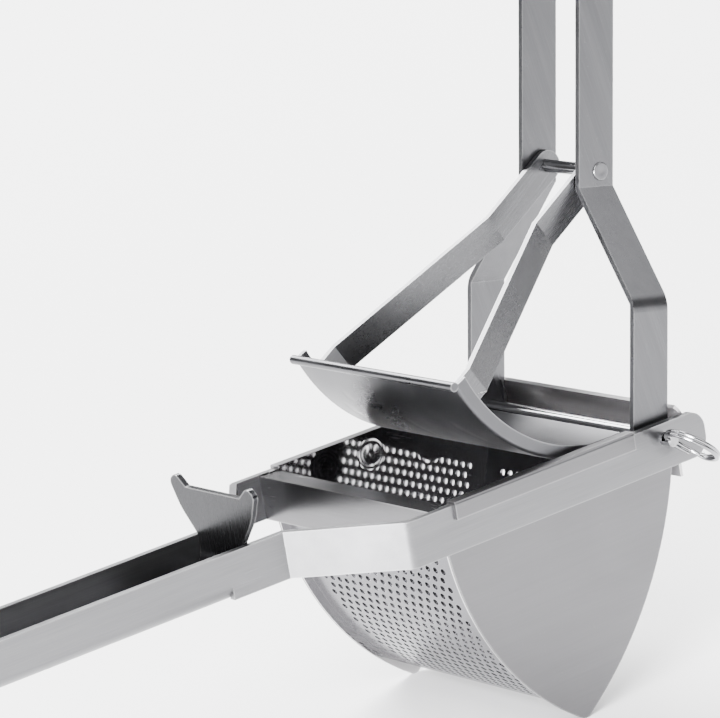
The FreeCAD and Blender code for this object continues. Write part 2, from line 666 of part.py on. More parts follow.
SIEVE_TOP = FRONT_TOP + " - hopper_sheet"
front_ring = boolean("Cut", "front_ring", drum("front_outer", FRONT_OUT, "front_back", "0"),
                     drum("front_inner", FRONT_IN, "front_back", "0"))
front_part = boolean("Common", "front_part", front_ring, drum("rear_limit", REAR_IN, "-1 * rear_fore", "rear_rise"))
front_shell = boolean("Common", "front_shell", front_part, block("front_zone", "-2 * front_round", SIEVE_TOP))
front_drills = drills("front_drills", f_x, f_z, value(FRONT_OUT),
                      math.pi + math.asin(value("top_margin") / value(FRONT_OUT)),
                      front_low - value("tip_margin") / value(FRONT_OUT))
rear_ring = boolean("Cut", "rear_ring", drum("rear_outer", REAR_OUT, "-1 * rear_fore", "rear_rise"),
                    drum("rear_inner", REAR_IN, "-1 * rear_fore", "rear_rise"))
rear_part = boolean("Common", "rear_part", rear_ring, drum("front_limit", FRONT_OUT, "front_back", "0"))
rear_band = boolean("Common", "rear_band", rear_part, block("rear_zone", "-2 * front_round", "-1 * sieve_drop"))
doc.recompute()

# flange at the top of the rear sieve, closing the trough under the axle
rear_flange = doc.addObject("Part::Box", "rear_flange")
FLANGE_X = "sqrt((" + REAR_OUT + ")^2 - (sieve_drop + rear_rise)^2) - rear_fore"
HOOK_IN = "(rear_curve * cos(rear_low_ang * 1 deg) - hopper_sheet)"
rear_flange.setExpression("Length", cells(HOOK_IN + " - (" + FLANGE_X + ") + sieve_sheet"))
rear_flange.setExpression("Width", cells(SIEVE_LONG))
rear_flange.setExpression("Height", cells("sieve_sheet"))
rear_flange.setExpression("Placement.Base.x", cells(FLANGE_X + " - sieve_sheet"))
rear_flange.setExpression("Placement.Base.y", cells("-1 * plate_in"))
rear_flange.setExpression("Placement.Base.z", cells("-1 * sieve_drop - sieve_sheet"))
rear_shell = boolean("Fuse", "rear_shell", rear_band, rear_flange)
rear_first = math.asin((-value("sieve_drop") - value("rear_margin") - value("rear_rise")) / value(REAR_OUT))
rear_drills = drills("rear_drills", g_x, g_z, value(REAR_OUT),
                     rear_low + value("tip_margin") / value(REAR_OUT), rear_first)
for label, shell, tool in (("front_sieve", front_shell, front_drills), ("rear_sieve", rear_shell, rear_drills)):
    sieve = boolean("Cut", label, shell, tool)
    sieve.Label = label
    place(sieve)
    nodes[label] = sieve

# ---------------------------------------------------------------- upper handle
upper = new_body("upper_handle")
straps = new_sketch(upper, "strap_plan", "YZ_Plane", "-1 * arm_front")

for hand in (1, -1):
    strip(straps, [
        ("-1 * arm_end", "arm_half"),
        ("low_bend", "arm_half"),
        ("high_bend", "strap_half"),
        ("web_far", "strap_half"),
    ], "arm_sheet", hand, upright=True)
channel = new_sketch(upper, "upper_grip_section", "XY_Plane", "web_far")
polygon(channel, [
    ("arm_back", "-1 * strap_half"),
    ("arm_back", "strap_half"),
    ("-1 * arm_front", "strap_half"),
    ("-1 * arm_front", "strap_half - arm_sheet"),
    ("arm_back - arm_sheet", "strap_half - arm_sheet"),
    ("arm_back - arm_sheet", "arm_sheet - strap_half"),
    ("-1 * arm_front", "arm_sheet - strap_half"),
    ("-1 * arm_front", "-1 * strap_half"),
])
pad(upper, channel, "handle_reach - web_far")
round_edges(upper, "upper_grip_corners", "web_round",
            lambda e: runs(e, "z", x=value("arm_back"), y=value("strap_half")))
round_edges(upper, "upper_grip_inner", "web_round - arm_sheet",
            lambda e: runs(e, "z", x=value("arm_back") - value("arm_sheet"), y=value("strap_half") - value("arm_sheet")))
pad(upper, straps, "arm_front + arm_back")
round_edges(upper, "arm_ends", "(arm_front + arm_back) / 2 - end_flat", lambda e: runs(e, "y", z=-value("arm_end")))
round_edges(upper, "arm_bends", "arm_round", lambda e: runs(e, "x", z=value("low_bend"), y=value("arm_half")))
round_edges(upper, "upper_end", "end_round", lambda e: runs(e, "y", z=value("handle_reach"), x=-value("arm_front")))
holes = new_sketch(upper, "upper_bores", "XZ_Plane")
circle(holes, "0", "0", BORE)
circle(holes, "0", "pivot_far", "bail_pin_dia")
cut_through(upper, holes)
place(upper, angle="lean")
nodes["upper_handle"] = upper

# ---------------------------------------------------------------- axle
tube = new_body("axle_tube")
ring = new_sketch(tube, "tube_section", "XZ_Plane")
circle(ring, "0", "0", "tube_dia")
circle(ring, "0", "0", BORE)
pad(tube, ring, "2 * (arm_half - arm_sheet - side_clear)", both=True)
place(tube)
nodes["axle_tube"] = tube

pin = new_body("release_pin")
shaft = new_sketch(pin, "pin_section", "XZ_Plane", "-1 * (frame_half + pin_far)")
circle(shaft, "0", "0", "pin_dia")
pad(pin, shaft, "2 * frame_half + pin_far + pin_out")
bar = pin.Tip
rims = ["Edge%d" % (i + 1) for i, e in enumerate(bar.Shape.Edges) if len(e.Vertexes) == 1]
chamfer = pin.newObject("PartDesign::Chamfer", "pin_ends")
chamfer.Base = (bar, rims)
chamfer.setExpression("Size", cells("pin_chamfer"))
doc.recompute()
eye = new_sketch(pin, "ring_eye", "YZ_Plane")
EYE_Y = "-1 * (frame_half + pin_out - eye_in)"
polygon(eye, [
    (EYE_Y + " - eye_long / 2", "-1 * eye_wide / 2"),
    (EYE_Y + " + eye_long / 2", "-1 * eye_wide / 2"),
    (EYE_Y + " + eye_long / 2", "eye_wide / 2"),
    (EYE_Y + " - eye_long / 2", "eye_wide / 2"),
])
cut_through(pin, eye)
place(pin, angle="ring_turn")
nodes["release_pin"] = pin

# split ring: two turns of wire side by side
turns = []
for name, way in (("ring_turn_a", 1), ("ring_turn_b", -1)):
    turn = doc.addObject("Part::Torus", name)
    turn.setExpression("Radius1", cells("(ring_dia - ring_wire) / 2"))
    turn.setExpression("Radius2", cells("ring_wire / 2"))
    turn.setExpression("Placement.Base.z", cells("%d * (ring_wire - ring_lap) / 2" % way))
    turns.append(turn)
pull = boolean("Fuse", "pull_ring", turns[0], turns[1])
pull.Label = "pull_ring"
RING_R = "((ring_dia - ring_wire) / 2)"
place(pull, angle="ring_turn",
      fore=RING_R + " * sin(ring_tilt * 1 deg) * cos(ring_turn * 1 deg)",
      rise="-1 * " + RING_R + " * sin(ring_tilt * 1 deg) * sin(ring_turn * 1 deg)",
      side="eye_in - frame_half - pin_out - " + RING_R + " * cos(ring_tilt * 1 deg)")
nodes["pull_ring"] = pull

# ---------------------------------------------------------------- bail
PIVOT_X = "pivot_far * sin(lean * 1 deg)"
PIVOT_Z = "pivot_far * cos(lean * 1 deg)"
BAIL_OUT = "(strap_half - arm_sheet - bail_gap)"
BAIL_IN = "(strap_half - arm_sheet - bail_gap - bail_sheet)"
BAIL_BORE = "(bail_pin_dia + 2 * run_clear)"

rivet = new_body("bail_pin")
half_section = new_sketch(rivet, "rivet_section", "XY_Plane")
polygon(half_section, [
    ("0", "-1 * strap_half - rivet_high"),
    ("rivet_head / 2", "-1 * strap_half - rivet_high"),
    ("rivet_head / 2", "-1 * strap_half"),
    ("bail_pin_dia / 2", "-1 * strap_half"),
    ("bail_pin_dia / 2", "strap_half"),
    ("rivet_head / 2", "strap_half"),
    ("rivet_head / 2", "strap_half + rivet_high"),
    ("0", "strap_half + rivet_high"),
])
spin = rivet.newObject("PartDesign::Revolution", "rivet_spin")
spin.Profile = half_section
spin.ReferenceAxis = (half_section, ["V_Axis"])
spin.Angle = 360
doc.recompute()
head_y = value("strap_half") + value("rivet_high")
round_edges(rivet, "rivet_domes", "rivet_high - edge_left",
            lambda e: len(e.Vertexes) == 1 and abs(abs(e.Vertexes[0].Y) - head_y) < 0.01)
place(rivet, fore=PIVOT_X, rise=PIVOT_Z)
nodes["bail_pin"] = rivet

spacer = new_body("bail_spacer")
hoop = new_sketch(spacer, "spacer_section", "XZ_Plane")
circle(hoop, "0", "0", "spacer_dia")
circle(hoop, "0", "0", BAIL_BORE)
pad(spacer, hoop, "2 * (" + BAIL_IN + " - side_clear)", both=True)
place(spacer, fore=PIVOT_X, rise=PIVOT_Z)
nodes["bail_spacer"] = spacer

PLATE_X = "-1 * plate_fore"
PLATE_Z = "plate_rise"
for label, hand in (("left_bail_arm", 1), ("right_bail_arm", -1)):
    arm = new_body(label + "_strap")
    plan = new_sketch(arm, label + "_plan", "XY_Plane")
    strip(plan, [
        ("-1 * bail_wide / 2", BAIL_OUT),
        ("bail_top", BAIL_OUT),
        ("bail_low", "bail_foot_half"),
        ("bail_low + foot_long", "bail_foot_half"),
    ], "bail_sheet", hand)
    pad(arm, plan, "bail_wide", both=True)
    end_x = -value("bail_wide") / 2
    round_edges(arm, label + "_end", "bail_wide / 2 - end_flat", lambda e: runs(e, "y", x=end_x))
    pivot = new_sketch(arm, label + "_bore", "XZ_Plane")
    circle(pivot, "0", "0", BAIL_BORE)
    cut_through(arm, pivot)
    place(arm, fore=PIVOT_X, rise=PIVOT_Z, angle="180 - bail_slope")
    bed = doc.addObject("Part::Cylinder", label + "_bed")
    bed.setExpression("Radius", cells("plate_round - plate_sheet"))
    bed.setExpression("Height", cells("2 * plate_half"))
    bed.Placement = FreeCAD.Placement(V(0, 0, 0), ROT(V(1, 0, 0), -90))
    bed.setExpression("Placement.Base.x", cells(AXLE_X + " - plate_fore"))
    bed.setExpression("Placement.Base.y", cells("-1 * plate_half"))
    bed.setExpression("Placement.Base.z", cells(AXLE_Z + " + plate_rise"))
    trimmed = boolean("Common", label, arm, bed)
    trimmed.Label = label
    nodes[label] = trimmed

# ---------------------------------------------------------------- plunger plate
plunger = new_body("plunger_pressing")
dish = new_sketch(plunger, "plate_section", "XY_Plane")
polygon(dish, [
    ("plate_round", "-1 * plate_half"),
    ("plate_round", "plate_half"),
    ("plate_round - plate_flange", "plate_half"),
    ("plate_round - plate_flange", "plate_half - plate_sheet"),
    ("plate_round - plate_sheet", "plate_half - plate_sheet"),
    ("plate_round - plate_sheet", "plate_sheet - plate_half"),
    ("plate_round - plate_flange", "plate_sheet - plate_half"),
    ("plate_round - plate_flange", "-1 * plate_half"),
])
sweep = plunger.newObject("PartDesign::Revolution", "plate_sweep")
sweep.Profile = dish
sweep.ReferenceAxis = (dish, ["V_Axis"])
sweep.setExpression("Angle", cells("plate_span"))
sweep.Reversed = True
doc.recompute()
plate_r = value("plate_round")
round_edges(plunger, "plate_edges", "plate_sheet - edge_left",
            lambda e: ends_on_curve(e, plate_r, value("plate_half")))
lip = new_sketch(plunger, "lip_section", "XZ_Plane")
circle(lip, "plate_round + lip_out", "0", "lip_dia")
pad(plunger, lip, "2 * plate_half", both=True)
place(plunger, fore=PLATE_X, rise=PLATE_Z, angle="180 - plate_start")
# its rear corners are notched round the arms of the upper handle
NOTCH_HALF = "(arm_half - arm_sheet - notch_clear)"
notched = plunger
for hand, near in ((1, NOTCH_HALF), (-1, "-1 * plate_half - spare")):
    notch = doc.addObject("Part::Box", "notch_left" if hand > 0 else "notch_right")
    notch.setExpression("Length", cells("arm_front + notch_gap"))
    notch.setExpression("Width", cells("plate_half + spare - " + NOTCH_HALF))
    notch.setExpression("Height", cells("4 * plate_flange"))
    notch.setExpression("Placement.Base.x", cells(AXLE_X + " - arm_front - notch_gap"))
    notch.setExpression("Placement.Base.y", cells(near))
    notch.setExpression("Placement.Base.z", cells(AXLE_Z + " - plate_flange"))
    notched = boolean("Cut", "plunger_notched_left" if hand > 0 else "plunger_notched", notched, notch)
notched.Label = "plunger_plate"
nodes["plunger_plate"] = notched

# ---------------------------------------------------------------- checks and export
doc.recompute()
for obj in doc.Objects:
    if "Invalid" in obj.State or "Error" in obj.State:
        raise RuntimeError("%s is %s" % (obj.Name, obj.State))
for label, obj in nodes.items():
    shape = obj.Shape
    if shape.isNull() or not shape.isValid() or len(shape.Solids) != 1:
        raise RuntimeError("%s has no single valid solid" % label)
os.makedirs("parts", exist_ok=True)
for label, obj in nodes.items():
    obj.Shape.exportStep("parts/%s.step" % label)
    box = obj.Shape.BoundBox
    print("%-18s %9.1f mm3  x %7.1f %7.1f  y %6.1f %6.1f  z %7.1f %7.1f" % (
        label, obj.Shape.Volume, box.XMin, box.XMax, box.YMin, box.YMax, box.ZMin, box.ZMax))
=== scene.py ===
"""Looks of a potato ricer: brushed and polished sheet steel, split ring, weld marks, studio stage.

Laid out as an add-on.  Lengths are metres in the part's own frame.
"""

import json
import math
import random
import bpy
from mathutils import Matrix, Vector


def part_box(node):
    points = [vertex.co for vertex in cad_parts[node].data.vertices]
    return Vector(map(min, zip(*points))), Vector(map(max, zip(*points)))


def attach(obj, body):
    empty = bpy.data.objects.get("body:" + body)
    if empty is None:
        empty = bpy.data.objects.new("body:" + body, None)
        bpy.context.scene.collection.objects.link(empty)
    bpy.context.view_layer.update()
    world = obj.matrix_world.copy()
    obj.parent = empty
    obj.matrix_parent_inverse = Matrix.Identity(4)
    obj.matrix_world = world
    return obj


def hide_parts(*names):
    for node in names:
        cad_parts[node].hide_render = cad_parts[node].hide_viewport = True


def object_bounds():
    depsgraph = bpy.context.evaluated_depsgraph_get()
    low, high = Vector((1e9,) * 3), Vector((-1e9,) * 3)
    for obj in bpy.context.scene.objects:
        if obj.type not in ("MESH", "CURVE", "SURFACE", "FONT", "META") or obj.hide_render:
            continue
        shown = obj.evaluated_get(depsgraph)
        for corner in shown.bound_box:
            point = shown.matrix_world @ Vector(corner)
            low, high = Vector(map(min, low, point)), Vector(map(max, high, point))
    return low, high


bl_info = {
    "name": "Potato Ricer Finish",
    "version": (1, 0, 0),
    "blender": (4, 5, 0),
    "location": "View3D > Sidebar > Ricer",
    "description": "Steel finishes, weld marks, split ring and stage for a potato ricer",
    "category": "Object",
}

import bmesh
import bpy
from bpy.props import FloatProperty, FloatVectorProperty, IntProperty, PointerProperty
from mathutils import Euler, Matrix, Vector

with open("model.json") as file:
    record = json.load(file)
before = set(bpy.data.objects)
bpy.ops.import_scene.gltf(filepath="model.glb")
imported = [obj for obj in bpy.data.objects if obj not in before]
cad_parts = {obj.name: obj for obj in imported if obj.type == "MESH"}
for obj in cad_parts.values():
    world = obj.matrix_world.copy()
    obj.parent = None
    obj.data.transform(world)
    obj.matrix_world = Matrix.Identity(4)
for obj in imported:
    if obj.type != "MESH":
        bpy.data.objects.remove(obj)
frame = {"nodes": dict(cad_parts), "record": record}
CAD_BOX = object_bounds()

JOINT = {joint["name"]: joint for joint in frame["record"]["behaviour"]["joints"]}
AXLE = Vector(JOINT["handle_swing"]["pos_m"])
RIVET = Vector(JOINT["plunger_swing"]["pos_m"])
EYE = Vector(JOINT["ring_swing"]["pos_m"])
EYE_AXIS = Vector(JOINT["ring_swing"]["axis"]).normalized()
# soft lights: name, place, width and height, watts
LIGHTS = (
    ("key", (-1.6, -1.3, 2.6), (2.2, 2.0), 190),
    ("fill", (2.0, -1.6, 2.4), (2.0, 2.0), 55),
    ("back", (0.8, 2.2, 2.6), (3.0, 1.8), 520),
    ("splay", (-1.9, -0.72, 0.15), (0.9, 0.42), 380),
)
# spot welds of a side plate: share of its length, and depth below its top edge
SPOT_WELDS = ((0.22, 0.0065), (0.42, 0.0078), (0.67, 0.0136))
SPOT_DEPTH = 0.00045
# colours of marks in the steel
SPECK = (0.25, 0.25, 0.26)
STAIN = (0.16, 0.15, 0.15)
BEAD_STEEL = (0.42, 0.41, 0.41)
# the darkest brush marks keep this share of the steel's tone
GRAIN_DARK = 0.62
GRAIN_HEIGHT = 0.00002
BEADS = 9
RING_START = 2.2
SENSOR_WIDTH = 36
VIEW_FAR = 50
# the open upper handle leans back by this angle
LEAN = math.atan2(RIVET.x - AXLE.x, RIVET.z - AXLE.z)


def node_box(name):
    """Lowest and highest corner of a piece as vectors."""
    low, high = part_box(name)
    return Vector(low), Vector(high)


# ---------------------------------------------------------------- settings
class RicerColours(bpy.types.PropertyGroup):
    """Colours of the steel finishes and of the stage."""

    rail: FloatVectorProperty(
        name="Rail steel", description="Brushed steel of the rails and grips",
        default=(0.205, 0.205, 0.212), subtype="COLOR", min=0, max=1)
    handle: FloatVectorProperty(
        name="Handle steel", description="Brushed steel of the upper handle and the bail",
        default=(0.138, 0.138, 0.145), subtype="COLOR", min=0, max=1)
    bail: FloatVectorProperty(
        name="Bail steel", description="Darker brushed steel of the bail arms",
        default=(0.150, 0.150, 0.156), subtype="COLOR", min=0, max=1)
    # painted shade: the horned rest's near-black colour stands for the shade its tab shows, not for a darker
    # steel
    rest: FloatVectorProperty(
        name="Rest steel", description="Darker rolled steel of the horned rest",
        default=(0.040, 0.040, 0.043), subtype="COLOR", min=0, max=1)
    # the same pale colour also serves as painted light on the shaded rear cross plate
    polished: FloatVectorProperty(
        name="Polished steel", description="Mirror inside of the hopper's side plates",
        default=(0.56, 0.55, 0.56), subtype="COLOR", min=0, max=1)
    hopper: FloatVectorProperty(
        name="Hopper steel", description="Polished steel of the hopper's plates",
        default=(0.150, 0.148, 0.154), subtype="COLOR", min=0, max=1)
    sieve: FloatVectorProperty(
        name="Sieve steel", description="Rolled steel of the punched sieves",
        default=(0.155, 0.153, 0.165), subtype="COLOR", min=0, max=1)
    plunger: FloatVectorProperty(
        name="Plunger steel", description="Smooth steel of the plunger",
        default=(0.098, 0.098, 0.104), subtype="COLOR", min=0, max=1)
    pin: FloatVectorProperty(
        name="Pin steel", description="Bright bar of the pins, tubes and ring",
        default=(0.30, 0.30, 0.31), subtype="COLOR", min=0, max=1)
    worn: FloatVectorProperty(
        name="Worn edge", description="Bare, rubbed steel along sheared edges",
        default=(0.70, 0.70, 0.70), subtype="COLOR", min=0, max=1)
    floor: FloatVectorProperty(
        name="Floor", description="Pale floor of the stage",
        default=(0.93, 0.93, 0.93), subtype="COLOR", min=0, max=1)


class RicerSizes(bpy.types.PropertyGroup):
    """Sizes of the surface detail, the added pieces and the stage."""

    grain: FloatProperty(
        name="Grain density", description="Brush marks per metre across the grain",
        default=2600.0, min=100)
    edge: FloatProperty(
        name="Edge width", description="Width of the rubbed band along an edge",
        default=0.0009, unit="LENGTH", min=0)
    weld: FloatProperty(
        name="Weld dimple", description="Radius of a spot weld's dimple",
        default=0.0062, unit="LENGTH", min=0)
    bead: FloatProperty(
        name="Weld bead", description="Width of a bead along a bail foot",
        default=0.0016, unit="LENGTH", min=0)
    ring_wire: FloatProperty(
        name="Ring wire", description="Diameter of the split ring's wire",
        default=0.0014, unit="LENGTH", min=0)
    ring_turns: FloatProperty(
        name="Ring turns", description="Turns of wire in the split ring",
        default=1.93, min=1, max=3)
    lens: FloatProperty(
        name="Lens", description="Focal length of the stage camera",
        default=206.4, unit="CAMERA", min=1)
    camera_place: FloatVectorProperty(
        name="Camera place", description="Where the stage camera stands",
        default=(-0.7655, -1.0903, 0.4037), unit="LENGTH", subtype="TRANSLATION")
    camera_azimuth: FloatProperty(
        name="Azimuth", description="Turn of the view from +Y towards +X",
        default=math.radians(35.63), unit="ROTATION")
    camera_drop: FloatProperty(
        name="Drop", description="How far the view points below the horizon",
        default=math.radians(14.44), unit="ROTATION")
    camera_roll: FloatProperty(
        name="Roll", description="Turn of the camera about its view",
        default=math.radians(9.63), unit="ROTATION")
    floor_half: FloatProperty(
        name="Floor half width", description="Half the width of the floor",
        default=6.0, unit="LENGTH", min=1)
    seed: IntProperty(
        name="Seed", description="Seed of the small irregularities",
        default=7, min=0)


def colours():
    return bpy.context.scene.ricer_colours


def sizes():
    return bpy.context.scene.ricer_sizes


# ---------------------------------------------------------------- node helpers
def add(tree, kind, **inputs):
    """New node with input values set by name; underscores stand for spaces."""
    node = tree.nodes.new(kind)
    for key, number in inputs.items():
        node.inputs[key.replace("_", " ")].default_value = number
    return node


def math_node(tree, operation, first, second=None, third=None, clamp=False):
    """Math node; each operand is a socket or a number."""
    node = tree.nodes.new("ShaderNodeMath")
    node.operation = operation
    node.use_clamp = clamp
    for slot, operand in enumerate((first, second, third)):
        if operand is None:
            continue
        if isinstance(operand, (int, float)):
            node.inputs[slot].default_value = operand
        else:
            tree.links.new(operand, node.inputs[slot])
    return node.outputs[0]


def vector_node(tree, operation, first, second=None):
    """Vector math node; each operand is a socket or a triple."""
    node = tree.nodes.new("ShaderNodeVectorMath")
    node.operation = operation
    for slot, operand in enumerate((first, second)):
        if operand is None:
            continue
        if hasattr(operand, "is_output"):
            tree.links.new(operand, node.inputs[slot])
        else:
            node.inputs[slot].default_value = operand
    return node


def blend_colours(tree, factor, first, second):
    """Mix of two colours; each is a socket or a triple."""
    node = tree.nodes.new("ShaderNodeMix")
    node.data_type = "RGBA"
    tree.links.new(factor, node.inputs["Factor"])
    for slot, operand in ((6, first), (7, second)):
        if hasattr(operand, "is_output"):
            tree.links.new(operand, node.inputs[slot])
        else:
            node.inputs[slot].default_value = (*operand, 1)
    return node.outputs[2]


def new_group(name, ins, outs):
    """Empty shader group with its named sockets."""
    group = bpy.data.node_groups.new(name, "ShaderNodeTree")
    for label, kind, default in ins:
        socket = group.interface.new_socket(label, in_out="INPUT", socket_type=kind)
        if default is not None:
            socket.default_value = default
    for label, kind in outs:
        group.interface.new_socket(label, in_out="OUTPUT", socket_type=kind)
    return group, group.nodes.new("NodeGroupInput"), group.nodes.new("NodeGroupOutput")


def group_once(name, build):
    """Group of that name, built the first time it is asked for."""
    return bpy.data.node_groups.get(name) or build(name)


def use_group(tree, group, **inputs):
    """Group node with its inputs linked or set by name; underscores stand for spaces."""
    node = tree.nodes.new("ShaderNodeGroup")
    node.node_tree = group
    for key, operand in inputs.items():
        socket = node.inputs[key.replace("_", " ")]
        if hasattr(operand, "is_output"):
            tree.links.new(operand, socket)
        else:
            socket.default_value = operand
    return node


# ---------------------------------------------------------------- shared effects
def build_grain(name):
    """Long fine brush marks along the grain's own X, with broad soft bands between them."""
    group, inside, outside = new_group(name, [
        ("Vector", "NodeSocketVector", None),
        ("Turn", "NodeSocketFloat", 0.0),
        ("Tilt", "NodeSocketFloat", 0.0),
        ("Density", "NodeSocketFloat", 2600.0),
        ("Length", "NodeSocketFloat", 40.0),
    ], [("Streaks", "NodeSocketFloat"), ("Bands", "NodeSocketFloat")])
    turn = add(group, "ShaderNodeVectorRotate", Axis=(0, 1, 0))
    group.links.new(inside.outputs["Vector"], turn.inputs["Vector"])
    group.links.new(inside.outputs["Turn"], turn.inputs["Angle"])
    tilt = add(group, "ShaderNodeVectorRotate", Axis=(0, 0, 1))
    group.links.new(turn.outputs[0], tilt.inputs["Vector"])
    group.links.new(inside.outputs["Tilt"], tilt.inputs["Angle"])
    along = math_node(group, "DIVIDE", inside.outputs["Density"], inside.outputs["Length"])
    scale = add(group, "ShaderNodeCombineXYZ")
    group.links.new(along, scale.inputs["X"])
    group.links.new(inside.outputs["Density"], scale.inputs["Y"])
    group.links.new(inside.outputs["Density"], scale.inputs["Z"])
    spread = vector_node(group, "MULTIPLY", tilt.outputs[0], scale.outputs[0]).outputs[0]
    fine = add(group, "ShaderNodeTexNoise", Scale=1.0, Detail=3.0, Roughness=0.65)
    group.links.new(spread, fine.inputs["Vector"])
    broad = add(group, "ShaderNodeTexNoise", Scale=0.09, Detail=2.0, Roughness=0.5)
    group.links.new(spread, broad.inputs["Vector"])
    group.links.new(fine.outputs["Fac"], outside.inputs["Streaks"])
    group.links.new(broad.outputs["Fac"], outside.inputs["Bands"])
    return group


def build_edge_wear(name):
    """Mask that is 1 along sharp edges, broken up by noise."""
    group, inside, outside = new_group(name, [
        ("Vector", "NodeSocketVector", None),
        ("Width", "NodeSocketFloat", 0.001),
        ("Breakup", "NodeSocketFloat", 0.5),
    ], [("Mask", "NodeSocketFloat")])
    bevel = add(group, "ShaderNodeBevel")
    bevel.samples = 6
    group.links.new(inside.outputs["Width"], bevel.inputs["Radius"])
    geometry = group.nodes.new("ShaderNodeNewGeometry")
    facing = vector_node(group, "DOT_PRODUCT", bevel.outputs["Normal"], geometry.outputs["Normal"])
    away = math_node(group, "SUBTRACT", 1.0, facing.outputs["Value"])
    edge = add(group, "ShaderNodeMapRange", From_Min=0.01, From_Max=0.12)
    group.links.new(away, edge.inputs["Value"])
    noise = add(group, "ShaderNodeTexNoise", Scale=420.0, Detail=3.0)
    group.links.new(inside.outputs["Vector"], noise.inputs["Vector"])
    broken = math_node(group, "MULTIPLY", noise.outputs["Fac"], inside.outputs["Breakup"])
    kept = math_node(group, "SUBTRACT", 1.0, broken)
    group.links.new(math_node(group, "MULTIPLY", edge.outputs[0], kept, clamp=True), outside.inputs["Mask"])
    return group


def build_handling(name):
    """Soft cloudy marks of wiping and handling, from 0 to 1."""
    group, inside, outside = new_group(name, [
        ("Vector", "NodeSocketVector", None),
        ("Scale", "NodeSocketFloat", 30.0),
    ], [("Clouds", "NodeSocketFloat"), ("Specks", "NodeSocketFloat")])
    clouds = add(group, "ShaderNodeTexNoise", Detail=4.0, Roughness=0.55, Distortion=0.6)
    group.links.new(inside.outputs["Vector"], clouds.inputs["Vector"])
    group.links.new(inside.outputs["Scale"], clouds.inputs["Scale"])
    ramp = add(group, "ShaderNodeMapRange", From_Min=0.38, From_Max=0.68)
    group.links.new(clouds.outputs["Fac"], ramp.inputs["Value"])
    specks = add(group, "ShaderNodeTexNoise", Scale=900.0, Detail=2.0)
    group.links.new(inside.outputs["Vector"], specks.inputs["Vector"])
    dots = add(group, "ShaderNodeMapRange", From_Min=0.68, From_Max=0.78)
    group.links.new(specks.outputs["Fac"], dots.inputs["Value"])
    group.links.new(ramp.outputs[0], outside.inputs["Clouds"])
    group.links.new(dots.outputs[0], outside.inputs["Specks"])
    return group


def build_press_mark(name):
    """Shallow mark pressed round a line from Start to End: its depth and a stain mask."""
    group, inside, outside = new_group(name, [
        ("Vector", "NodeSocketVector", None),
        ("Start", "NodeSocketVector", (0.0, 0.0, 0.0)),
        ("End", "NodeSocketVector", (0.0, 0.0, 0.001)),
        ("Radius", "NodeSocketFloat", 0.002),
    ], [("Height", "NodeSocketFloat"), ("Mark", "NodeSocketFloat")])
    run = vector_node(group, "SUBTRACT", inside.outputs["End"], inside.outputs["Start"]).outputs[0]
    offset = vector_node(group, "SUBTRACT", inside.outputs["Vector"], inside.outputs["Start"]).outputs[0]
    ahead = vector_node(group, "DOT_PRODUCT", offset, run).outputs["Value"]
    square = vector_node(group, "DOT_PRODUCT", run, run).outputs["Value"]
    share = math_node(group, "DIVIDE", ahead, square, clamp=True)
    reach = group.nodes.new("ShaderNodeVectorMath")
    reach.operation = "SCALE"
    group.links.new(run, reach.inputs[0])
    group.links.new(share, reach.inputs["Scale"])
    gap = vector_node(group, "DISTANCE", offset, reach.outputs[0]).outputs["Value"]
    away = math_node(group, "DIVIDE", gap, inside.outputs["Radius"])
    bowl = add(group, "ShaderNodeMapRange", From_Min=0.1, From_Max=1.0, To_Min=-1.0, To_Max=0.0)
    bowl.interpolation_type = "SMOOTHSTEP"
    group.links.new(away, bowl.inputs["Value"])
    mark = add(group, "ShaderNodeMapRange", From_Min=0.1, From_Max=0.5, To_Min=1.0, To_Max=0.0)
    mark.interpolation_type = "SMOOTHSTEP"
    group.links.new(away, mark.inputs["Value"])
    group.links.new(bowl.outputs[0], outside.inputs["Height"])
    group.links.new(mark.outputs[0], outside.inputs["Mark"])
    return group


